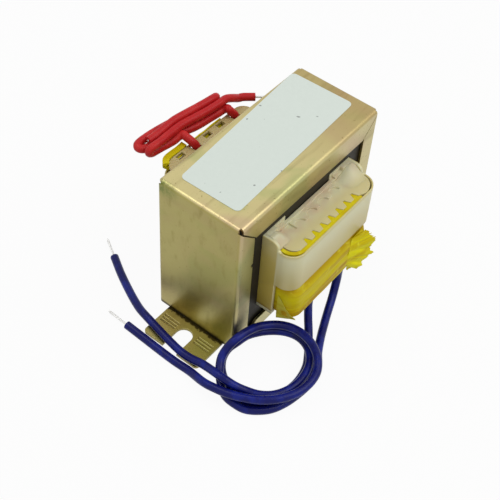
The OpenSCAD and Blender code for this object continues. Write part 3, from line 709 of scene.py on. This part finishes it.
def copperMaterial():
    material, recipe, inputs = newMaterial("copper")
    z = recipe.axes(recipe.place())[2]
    turns = (z * (2 * math.pi / (copperLook["pitch"] * mm))).sine() * 0.5 + 0.5
    film = recipe.between(z, *copperLook["filmUp"])  # tape folded over the winding's end
    wire = recipe.mixed(turns, copperLook["dark"], copperLook["bright"])
    recipe.feed(inputs["Base Color"], recipe.mixed(film, wire, copperLook["film"]))
    recipe.feed(inputs["Metallic"], 0.9 - 0.9 * film)
    recipe.feed(inputs["Roughness"], 0.4 - 0.12 * turns)
    recipe.feed(inputs["Normal"], recipe.bump(turns, 0.8, 0.0001))
    return material


copper = copperMaterial()
for name in ("primary_winding", "secondary_winding"):
    finishPiece(nodes[name], "copper", copper)
for name in ("primary_splices", "secondary_splices"):
    finishPiece(nodes[name], "tinned_wire", tinned)


# Yellow polyester tape

tapeLooks = {
    "tape": {"film": tone(206, 190, 6), "deep": tone(178, 140, 0), "pale": tone(216, 206, 52),
             "rough": 0.42},
    "loose_tape": {"film": tone(224, 216, 0), "deep": tone(200, 178, 0), "pale": tone(230, 228, 60),
                   "rough": 0.42},
    "thin_tape": {"film": tone(200, 192, 62), "deep": tone(184, 168, 40), "pale": tone(214, 210, 122),
                  "rough": 0.34},
}
tapeShade = {"from": (0.0185, 0.022), "to": (0.025, 0.0235)}  # the heights of the painted shade under the band


def tapeMaterial(name, look):
    material, recipe, inputs = newMaterial(name, IOR=1.5, Specular_IOR_Level=0.15)
    place = recipe.place()
    z = recipe.axes(place)[2]
    layers = recipe.cloud(recipe.stretched(place, (28, 28, 420), turn=(0.0, 0.12, 0.0)), 1, 3, 0.55, 0.4)
    crease = recipe.cloud(place, 330, 4, 0.6, 0.8)
    # painted shade on the tape just under the band's edge, joined below with the darker tape layers
    tucked = recipe.between(z, *tapeShade["from"]) * recipe.between(z, *tapeShade["to"])
    shade = recipe.between(layers, 0.42, 0.68).most(tucked)
    colour = recipe.mixed(shade, look["film"], look["deep"])
    colour = recipe.mixed(recipe.between(crease, 0.52, 0.72) * 0.7, colour, look["pale"])
    recipe.feed(inputs["Base Color"], colour)
    recipe.feed(inputs["Roughness"], look["rough"] + 0.2 * crease)
    recipe.feed(inputs["Normal"], recipe.bump(layers * 0.6 + crease * 0.4, 0.4, 0.0004))
    return material


tapes = {name: tapeMaterial(name, look) for name, look in tapeLooks.items()}
tape = tapes["tape"]
finishPiece(nodes["primary_tape"], "tape", tape)

wrap = {"half": (17.5, 23.5), "low": 11.1, "high": 22.6, "corner": 3.6, "wall": 0.4, "rows": (40, 30),
        "turnsFrom": 17.6, "firstEdge": (15.4, 0.12), "waver": (0.5, 0.45), "secondEdge": (19.4, -0.05),
        "tuck": 1.35, "tuckFrom": 19, "ledge": 0.2, "crumple": 0.16}


ring = {"rounds": 10, "ends": 17.45}


def ringWall(name, half, low, high, corner, rowsAlong, rowsUp):  # a rounded band round the coil
    deselectAll()
    bpy.ops.mesh.primitive_cube_add(size=1, location=(0, 0, (low + high) / 2 * mm),
                                    scale=(2 * half[0] * mm, 2 * half[1] * mm, (high - low) * mm))
    piece = started(name)
    selectEdges(piece, lambda a, b: abs(a.z - b.z) > 0.001 * mm)
    bpy.ops.mesh.bevel(offset=corner * mm, segments=ring["rounds"], affect="EDGES")
    sliceAlong(2, [z * mm for z in steps(low, high, rowsUp)[1:-1]])
    sliceAlong(0, [x * mm for x in steps(corner - half[0], half[0] - corner, rowsAlong)[1:-1]])
    sliceAlong(1, [-ring["ends"] * mm, ring["ends"] * mm])
    selectFaces(piece, lambda centre, normal: abs(normal.z) > 0.9)
    bpy.ops.mesh.delete(type="FACE")
    bpy.ops.object.mode_set(mode="OBJECT")
    return piece


def wrapShape(point, normal):  # turns with slanting edges, tucked in under the band, and light crumples
    if abs(point.y) < wrap["turnsFrom"] * mm:
        return Vector()
    x, z = point.x / mm, point.z / mm
    lower, upper, waver = wrap["firstEdge"], wrap["secondEdge"], wrap["waver"]
    first = lower[0] + lower[1] * x + waver[0] * math.sin(x * waver[1])
    second = upper[0] + upper[1] * x
    ledges = ease(first + 0.35, first - 0.35, z) + 0.7 * ease(second + 0.3, second - 0.3, z) - 1.2
    crumple = wrap["crumple"] * noise.noise(Vector((x * 0.16, point.y / mm * 0.3, z * 0.7)))
    tuck = wrap["tuck"] * ease(wrap["tuckFrom"], wrap["high"], z) * abs(normal.y)
    return normal * (wrap["ledge"] * ledges + crumple - tuck) * mm


secondary = ringWall("secondary_wrap", wrap["half"], wrap["low"], wrap["high"], wrap["corner"], *wrap["rows"])
movePoints(secondary, wrapShape)
modify(secondary, "SOLIDIFY", thickness=wrap["wall"] * mm, offset=-1)
smoothBy(secondary, 50)
finishPiece(secondary, "tape", tape, "secondary_tape")

bunch = {
    "root": [(6.9, -23.5, 12.6), (7.6, -23.5, 17), (9, -22.9, 21.2)],
    "edge": [(11, -24.7, 7.9), (14.6, -25.8, 10.2), (16, -26, 14), (16, -25.8, 18.6), (13.6, -24, 22)],
    "layers": [(0, 0, 0), (-0.5, 0.45, 0.2), (-0.9, 0.9, -0.3), (0.1, 1.5, -0.9)], "film": 0.12,
    "creases": 0.55, "liftWay": (0.5, -0.75, 0.42), "fray": 0.12, "rows": (18, 72),
}


def along(points, share):  # a place on the smooth line through the points
    line = rounded([Vector(p) for p in points])
    spot = share * (len(line) - 1)
    low = min(int(spot), len(line) - 2)
    return line[low].lerp(line[low + 1], spot - low)


def tapeBunch():  # the loose end, gathered at its root and fanned out, with a frayed edge
    leaves = []
    rowsOut, rowsUp = bunch["rows"]
    for i, shift in enumerate(bunch["layers"]):
        deselectAll()
        bpy.ops.mesh.primitive_grid_add(x_subdivisions=rowsOut, y_subdivisions=rowsUp, size=1)
        leaf = started("leaf")

        def fold(point, normal):
            out, up = point.x + 0.5, point.y + 0.5
            start, end = along(bunch["root"], up), along(bunch["edge"], up) + Vector(shift)
            fray = noise.noise(Vector((up * 70, i * 3.1, 0))) + noise.noise(Vector((up * 17, i * 3.1, 4)))
            reach = out * (1 + bunch["fray"] * fray * out ** 4)
            crease = math.sin(up * 21 + i * 2.1 + 1.5 * noise.noise(Vector((up * 5, i * 1.7, 2))))
            crease += 0.8 * noise.noise(Vector((up * 11, out * 1.5, i * 5.7)))
            lift = bunch["creases"] * crease * math.sin(math.pi * min(out * 0.62, 1)) * (0.4 + out)
            return (start.lerp(end, reach) + Vector(bunch["liftWay"]) * lift) * mm - point

        movePoints(leaf, fold)
        modify(leaf, "SOLIDIFY", thickness=bunch["film"] * mm, offset=0)
        leaves.append(leaf)
    piece = joined(leaves, "tape_bunch")
    smoothBy(piece, 50)
    return finishPiece(piece, "tape", tapes["loose_tape"])


tapeBunch()

flap = {"root": [(-17.75, -18.3, 18), (-17.8, -18.3, 13), (-17.85, -18.5, 8.8)],
        "edge": [(-17.7, -19, 17.6), (-17.35, -21.6, 13.4), (-16.3, -23.8, 10.6)],
        "film": 0.12, "creases": 0.3, "liftWay": (-0.7, -0.6, -0.2), "rows": (14, 30)}


def cornerFlap():  # the tape's other end, loose at the lower left corner
    deselectAll()
    rowsOut, rowsUp = flap["rows"]
    bpy.ops.mesh.primitive_grid_add(x_subdivisions=rowsOut, y_subdivisions=rowsUp, size=1)
    piece = started("tape_flap")

    def fold(point, normal):
        out, up = point.x + 0.5, point.y + 0.5
        spot = along(flap["root"], up).lerp(along(flap["edge"], up), out)
        crease = noise.noise(Vector((up * 6, out * 2, 3))) * up + 0.5 * math.sin(up * 17 + out * 2) * out * up
        return (spot + Vector(flap["liftWay"]) * flap["creases"] * crease) * mm - point

    movePoints(piece, fold)
    modify(piece, "SOLIDIFY", thickness=flap["film"] * mm, offset=0)
    smoothBy(piece, 50)
    return finishPiece(piece, "tape", tapes["thin_tape"])


cornerFlap()

combTape = {"count": 7, "pitch": 3.45, "shift": -0.45, "front": 21.42, "root": 19.66, "wide": 1.84,
            "narrow": 0.62, "low": 35.0, "high": 35.88, "dip": 0.08, "dipFrom": 20, "wrinkle": 0.12}


def combTuck():  # tape that shows in the comb's notches: one tuck, copied along the comb
    look = combTape
    deselectAll()
    deep, tall = look["front"] - look["root"], look["high"] - look["low"]
    middle = (0, -(look["front"] + look["root"]) / 2 * mm, (look["low"] + look["high"]) / 2 * mm)
    bpy.ops.mesh.primitive_cube_add(size=1, location=middle, scale=(look["wide"] * mm, deep * mm, tall * mm))
    first = started("comb_tape")
    selectFaces(first, lambda centre, normal: normal.y > 0.9)
    bpy.ops.transform.resize(value=(look["narrow"] / look["wide"], 1, 1))
    selectEdges(first, lambda a, b: min(a.z, b.z) > (look["high"] - 0.01) * mm
                and min(a.y, b.y) > -look["dipFrom"] * mm)
    bpy.ops.transform.translate(value=(0, 0, -look["dip"] * mm))
    bpy.ops.mesh.select_all(action="SELECT")
    bpy.ops.mesh.subdivide(number_cuts=5)
    bpy.ops.object.mode_set(mode="OBJECT")
    tucks = []
    for i in range(look["count"]):
        tuck = first.copy()
        tuck.data = first.data.copy()
        bpy.context.scene.collection.objects.link(tuck)
        move = Vector((((look["count"] - 1) / -2 + i) * look["pitch"] + look["shift"], 0, 0)) * mm

        def wrinkle(point, normal):
            onTop = ease(look["low"] + 0.3, look["high"], point.z / mm)
            ripple = noise.noise(Vector((point.x / mm * 2.2, point.y / mm, i * 4.3)))
            return move + Vector((0, 0, look["wrinkle"] * onTop * ripple * mm))

        movePoints(tuck, wrinkle)
        tucks.append(tuck)
    bpy.data.objects.remove(first)
    piece = joined(tucks, "comb_tape")
    smoothBy(piece, 40)
    return finishPiece(piece, "tape", tape)


combTuck()

gapTape = {
    "front": {"half": (17.85, 22.42), "corner": 3.9, "wall": 1.05, "low": 33.5, "high": 35.8,
              "ends": (-18, 11.2)},
    "rear": {"half": (17.6, 24.8), "corner": 4.4, "wall": 1.8, "low": 36.1, "high": 38.7,
             "ends": (-16.6, -7.2)},
    "back": {"half": (17.6, 23.4), "corner": 4.2, "wall": 0.4, "low": 36.1, "high": 38.6,
             "ends": (-4.2, 7.5)},
}
gapWave = {"from": 17.4, "rows": (36, 8), "lift": 0.3, "ripple": 0.1, "turnIn": 1.3, "turnUp": (37.3, 36.1)}


def gapBand(side):  # tape that stands in the gap between the bobbin and a cover
    look = gapTape[side]
    low, high, way = look["low"], look["high"], -1 if side == "front" else 1
    piece = ringWall(side + "_gap_tape", look["half"], low, high, look["corner"], *gapWave["rows"])
    selectFaces(piece, lambda centre, normal: centre.y * way < gapWave["from"] * mm
                or not look["ends"][0] * mm < centre.x < look["ends"][1] * mm)
    bpy.ops.mesh.delete(type="FACE")
    bpy.ops.object.mode_set(mode="OBJECT")

    def wave(point, normal):
        share = (point.z / mm - low) / (high - low)
        lift = gapWave["lift"] * noise.noise(Vector((point.x / mm * 0.3, way * 4.0, 0.5)))
        inward = gapWave["ripple"] * abs(noise.noise(point / mm * 0.5))
        if side != "front":  # it comes out between the band and the flange, and turns up
            inward += gapWave["turnIn"] * ease(*gapWave["turnUp"], point.z / mm)
        return Vector((0, 0, lift * share * mm)) - normal * mm * inward

    movePoints(piece, wave)
    modify(piece, "SOLIDIFY", thickness=look["wall"] * mm, offset=-1)
    smoothBy(piece, 50)
    return finishPiece(piece, "tape", tape)


for side in gapTape:
    gapBand(side)
print("tape done")


# Label: bare white paper

labelLook = {"paper": tone(209, 218, 210), "fibre": tone(199, 208, 200), "speck": tone(96, 100, 96),
             "rough": 0.45}


def labelMaterial():
    material, recipe, inputs = newMaterial("label_paper", IOR=1.45, Coat_Weight=0.25, Coat_Roughness=0.3)
    place = recipe.place()
    fibre = recipe.cloud(place, 900, 4, 0.6)
    speck = recipe.cloud(recipe.stretched(place, (1, 1, 1), shift=(0.05, 0.02, 0)), 620, 0, 0.3)
    shade = recipe.mixed(fibre * 0.5, labelLook["paper"], labelLook["fibre"])
    colour = recipe.mixed(recipe.between(speck, 0.83, 0.86) * 0.7, shade, labelLook["speck"])
    recipe.feed(inputs["Base Color"], colour)
    recipe.feed(inputs["Roughness"], labelLook["rough"] + 0.15 * fibre)
    recipe.feed(inputs["Normal"], recipe.bump(fibre, 0.1, 0.0001))
    return material


sticker = {
    "corners": {("left", "back"): (-25.2, 9.6), ("left", "front"): (-24.8, -8.7),
                ("right", "front"): (26.3, -6.8), ("right", "back"): (25.6, 13.0)},
    "round": 1.4, "rounds": 6, "thick": 0.1, "low": 49.2, "bendFrom": 12.45, "bendTo": 12.9, "bend": 1.10,
    "span": (-20, 24),
}


def paperLabel():  # it lies a little askew, and its far corner follows the frame's bend
    deselectAll()
    bpy.ops.mesh.primitive_plane_add(size=1, location=(0, 0, sticker["low"] * mm))
    piece = started("paper_label")

    def toCorner(point, normal):
        corner = sticker["corners"]["right" if point.x > 0 else "left", "back" if point.y > 0 else "front"]
        return Vector((corner[0] * mm, corner[1] * mm, point.z)) - point

    movePoints(piece, toCorner)
    editing("VERT")
    bpy.ops.mesh.select_all(action="SELECT")
    bpy.ops.mesh.bevel(offset=sticker["round"] * mm, segments=sticker["rounds"], affect="VERTICES")
    sliceAlong(1, [y * mm for y in steps(sticker["bendFrom"], sticker["bendTo"], 7)])
    sliceAlong(0, [x * mm for x in steps(*sticker["span"], 12)])
    bpy.ops.object.mode_set(mode="OBJECT")

    def follow(point, normal):
        past = min(max(point.y / mm - sticker["bendFrom"], 0), sticker["bend"])
        return Vector((0, 0, -(sticker["bend"] - math.sqrt(sticker["bend"] ** 2 - past ** 2)) * mm))

    movePoints(piece, follow)
    modify(piece, "SOLIDIFY", thickness=sticker["thick"] * mm, offset=1)
    smoothBy(piece, 40)
    return finishPiece(piece, "label_paper", labelMaterial(), "label")


paperLabel()


# Floor, background and light

stageLook = {
    "floor": 0.66, "floorSize": 6, "whiteness": 0.94, "light": 0.63, "aim": (0, 0, 0.02),
    "lamps": {"soft_lamp": {"power": 1.7, "size": 0.5, "at": (0.16, -0.34, 0.62)},
              "edge_lamp": {"power": 0.9, "size": 0.4, "at": (-0.07, 0.3, 0.7)}},
}
white = (1, 1, 1, 1)
deselectAll()
bpy.ops.mesh.primitive_plane_add(size=stageLook["floorSize"])
floor = started("floor")
floorMaterial = bpy.data.materials.new("floor_white")
floorMaterial.use_nodes = True
floorMaterial.node_tree.nodes.clear()
recipe = Recipe(floorMaterial.node_tree)
recipe.make("ShaderNodeOutputMaterial", None, {"Surface": recipe.make("ShaderNodeMixShader", None, {
    0: recipe.shown() * stageLook["whiteness"],  # the rest keeps the shadow
    1: recipe.make("ShaderNodeBsdfDiffuse", None, {"Color": (*[stageLook["floor"]] * 3, 1)}),
    2: recipe.make("ShaderNodeEmission", None, {"Color": white, "Strength": 1.0})})})
floor.data.materials.append(floorMaterial)

world = bpy.data.worlds.new("studio")
bpy.context.scene.world = world
world.use_nodes = True
world.node_tree.nodes.clear()
recipe = Recipe(world.node_tree)
recipe.make("ShaderNodeOutputWorld", None, {"Surface": recipe.make("ShaderNodeMixShader", None, {
    0: recipe.shown(),
    1: recipe.make("ShaderNodeBackground", None, {"Color": white, "Strength": stageLook["light"]}),
    2: recipe.make("ShaderNodeBackground", None, {"Color": white, "Strength": 1.0})})})

for name, look in stageLook["lamps"].items():
    deselectAll()
    bpy.ops.object.light_add(type="AREA", location=look["at"])
    lamp = bpy.context.object
    lamp.name = name
    lamp.data.energy, lamp.data.size = look["power"], look["size"]
    lamp.rotation_euler = (Vector(stageLook["aim"]) - lamp.location).to_track_quat("-Z", "Y").to_euler()

bpy.context.scene.view_settings.view_transform = "Standard"
print("stage set")
